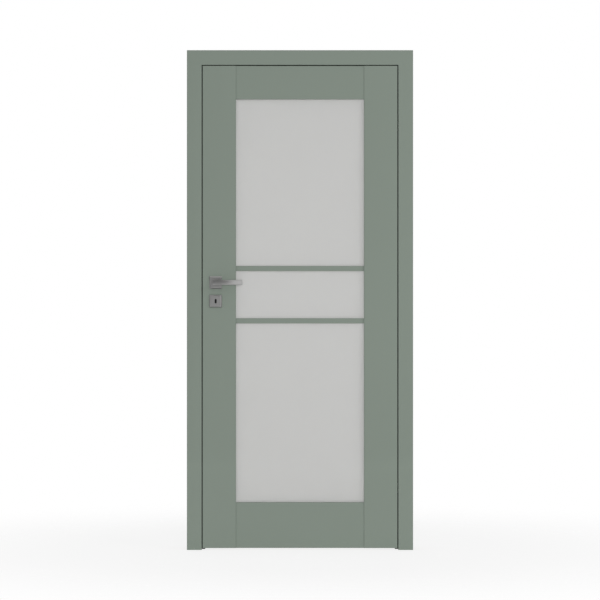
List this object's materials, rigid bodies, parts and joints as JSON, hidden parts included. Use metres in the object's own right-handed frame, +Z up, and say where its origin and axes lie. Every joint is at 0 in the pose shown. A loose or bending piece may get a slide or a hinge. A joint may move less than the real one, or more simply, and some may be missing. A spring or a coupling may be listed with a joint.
{
  "type": "interior door",
  "caption": "Glazed interior door leaf with satin panes in its own lined frame with casings, lever handle, mortise lock and concealed hinges.",
  "frame": {"origin": "middle of the whole door set seen from above, at floor level; the wall's front face is at Y = -21 mm", "axes": "+X to the right seen from the front, +Y into the wall away from the viewer, +Z up"},
  "size_m": [0.95, 0.19, 2.099],
  "materials": {
    "green_foil": "wood core with a satin grey-green foil",
    "satin_glass": "etched satin, both faces",
    "rubber": "soft matt seal",
    "pale_seal": "pale glazing seal",
    "beech": "raw beech",
    "satin_nickel": "satin nickel",
    "steel": "plain zinc-plated steel",
    "zinc": "die-cast zinc",
    "black_lacquer": "black lacquered pressed steel",
    "black_nylon": "black nylon of a quiet latch"
  },
  "bodies": {
    "frame": {"lock_jamb": "green_foil", "hinge_jamb": "green_foil", "head_jamb": "green_foil", "lock_front_casing": "green_foil", "hinge_front_casing": "green_foil", "head_front_casing": "green_foil", "lock_back_casing": "green_foil", "hinge_back_casing": "green_foil", "head_back_casing": "green_foil", "lock_seal": "rubber", "hinge_seal": "rubber", "head_seal": "rubber", "jamb_screws": "steel", "strike_plate": "satin_nickel", "frame_screws": "steel", "upper_hinge_frame_body": "zinc", "lower_hinge_frame_body": "zinc", "hinge_frame_pins": "steel"},
    "leaf": {"lock_stile": "green_foil", "hinge_stile": "green_foil", "top_rail": "green_foil", "bottom_rail": "green_foil", "upper_bar": "green_foil", "lower_bar": "green_foil", "upper_pane": "satin_glass", "middle_pane": "satin_glass", "lower_pane": "satin_glass", "upper_pane_gasket": "pale_seal", "middle_pane_gasket": "pale_seal", "lower_pane_gasket": "pale_seal", "rail_dowels": "beech", "upper_hinge_leaf_body": "zinc", "lower_hinge_leaf_body": "zinc", "hinge_leaf_pins": "steel", "lock_case": "black_lacquer", "lock_cover": "black_lacquer", "lock_faceplate": "satin_nickel", "leaf_screws": "steel", "latch_spring": "steel", "lever_bases": "zinc", "key_bases": "zinc", "rosette_screws": "steel", "front_lever_rosette": "satin_nickel", "back_lever_rosette": "satin_nickel", "front_key_rosette": "satin_nickel", "back_key_rosette": "satin_nickel"},
    "handle": {"front_lever": "satin_nickel", "back_lever": "satin_nickel", "spindle": "steel", "lever_set_screws": "steel", "lock_follower": "steel"},
    "latch": {"latch_bolt": "black_nylon"},
    "bolt": {"deadbolt": "satin_nickel"},
    "upper_frame_arm": {"upper_hinge_frame_arm": "steel"},
    "lower_frame_arm": {"lower_hinge_frame_arm": "steel"},
    "upper_leaf_arm": {"upper_hinge_leaf_arm": "steel"},
    "lower_leaf_arm": {"lower_hinge_leaf_arm": "steel"}
  },
  "joints": [
    {"name": "leaf_swing", "type": "hinge", "parent": "frame", "child": "leaf", "pos_m": [0.411, -0.037, 1.02], "axis": [0, 0, 1], "range_deg": [0, 100]},
    {"name": "handle_turn", "type": "hinge", "parent": "leaf", "child": "handle", "pos_m": [-0.354, -0.017, 1.123], "axis": [0, 1, 0], "range_deg": [0, 40], "stiffness_Nm_per_rad": 2, "springref_deg": -28.65},
    {"name": "latch_slide", "type": "slide", "parent": "leaf", "child": "latch", "axis": [1, 0, 0], "range_m": [0, 0.0103], "deforming": ["latch_spring"]},
    {"name": "deadbolt_slide", "type": "slide", "parent": "leaf", "child": "bolt", "axis": [-1, 0, 0], "range_m": [0, 0.014]},
    {"name": "upper_frame_arm_turn", "type": "hinge", "parent": "frame", "child": "upper_frame_arm", "pos_m": [0.42, -0.022, 1.783], "axis": [0, 0, 1], "range_deg": [0, 100]},
    {"name": "lower_frame_arm_turn", "type": "hinge", "parent": "frame", "child": "lower_frame_arm", "pos_m": [0.42, -0.022, 0.258], "axis": [0, 0, 1], "range_deg": [0, 100]},
    {"name": "upper_leaf_arm_turn", "type": "hinge", "parent": "upper_frame_arm", "child": "upper_leaf_arm", "pos_m": [0.411, -0.007, 1.783], "axis": [0, 0, 1], "range_deg": [-100, 0]},
    {"name": "lower_leaf_arm_turn", "type": "hinge", "parent": "lower_frame_arm", "child": "lower_leaf_arm", "pos_m": [0.411, -0.007, 0.258], "axis": [0, 0, 1], "range_deg": [-100, 0]}
  ],
  "couplings": [
    {"joint": "latch_slide", "follows": "handle_turn", "m_per_rad": 0.01475},
    {"joint": "upper_frame_arm_turn", "follows": "leaf_swing", "ratio": 1},
    {"joint": "lower_frame_arm_turn", "follows": "leaf_swing", "ratio": 1},
    {"joint": "upper_leaf_arm_turn", "follows": "leaf_swing", "ratio": -1},
    {"joint": "lower_leaf_arm_turn", "follows": "leaf_swing", "ratio": -1}
  ]
}
